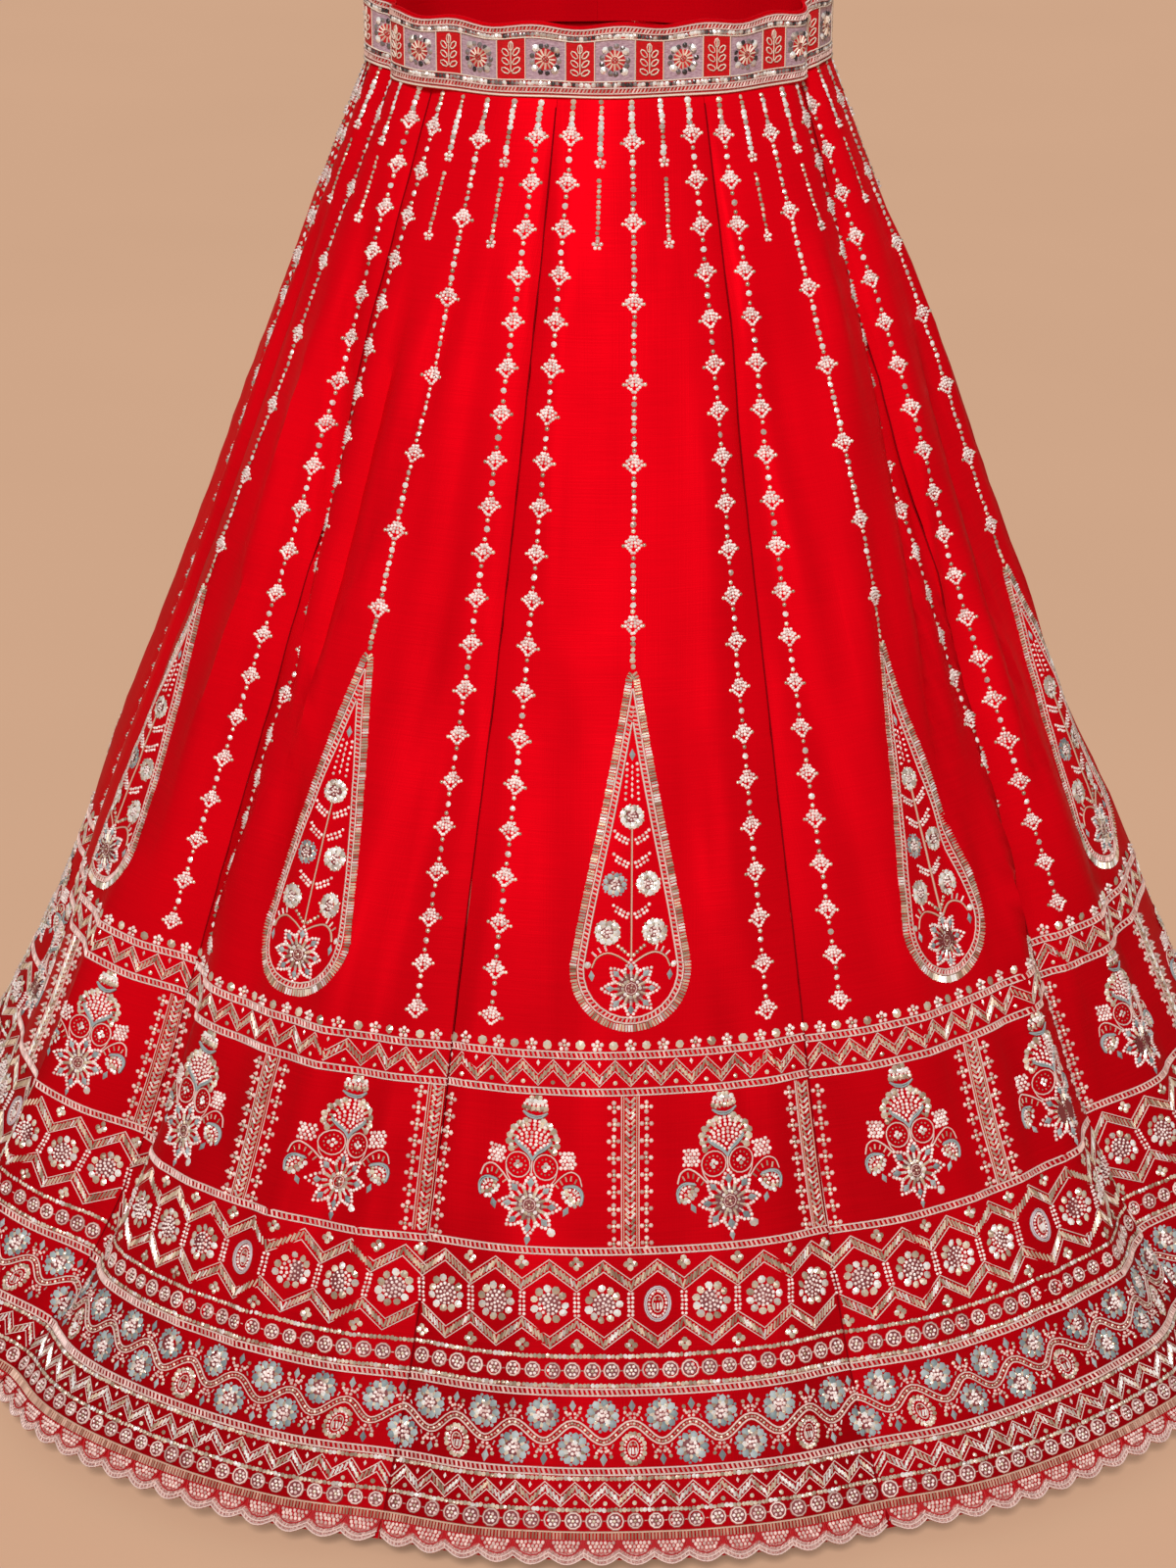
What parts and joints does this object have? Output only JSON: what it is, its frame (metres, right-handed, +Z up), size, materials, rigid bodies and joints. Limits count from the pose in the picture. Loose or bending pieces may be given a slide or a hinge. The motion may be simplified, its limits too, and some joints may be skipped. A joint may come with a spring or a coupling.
{
  "type": "lehenga skirt",
  "caption": "Floor-length flared panelled lehenga skirt in red silk, with an embroidered waistband, bead strings, long drop motifs and deep border bands over a scalloped lace hem.",
  "frame": {"origin": "centre of the waistband at its mid height, where the wearer's waist holds the skirt", "axes": "+Z up, -Y towards the front of the skirt, +X towards the wearer's left side (the viewer's right)"},
  "size_m": [1.2036, 1.1557, 0.9956],
  "materials": {
    "silk": "satin",
    "embroidered_band": "beaded",
    "lace": "beaded",
    "gold_cord": "satin"
  },
  "bodies": {
    "root": {"kali_01": "silk", "kali_02": "silk", "kali_03": "silk", "kali_04": "silk", "kali_05": "silk", "kali_06": "silk", "kali_07": "silk", "kali_08": "silk", "kali_09": "silk", "kali_10": "silk", "hem_lace_01": "lace", "hem_lace_02": "lace", "hem_lace_03": "lace", "hem_lace_04": "lace", "hem_lace_05": "lace", "hem_lace_06": "lace", "hem_lace_07": "lace", "hem_lace_08": "lace", "hem_lace_09": "lace", "hem_lace_10": "lace", "waistband": "embroidered_band", "waist_facing": "silk", "waist_piping": "gold_cord"}
  },
  "joints": []
}
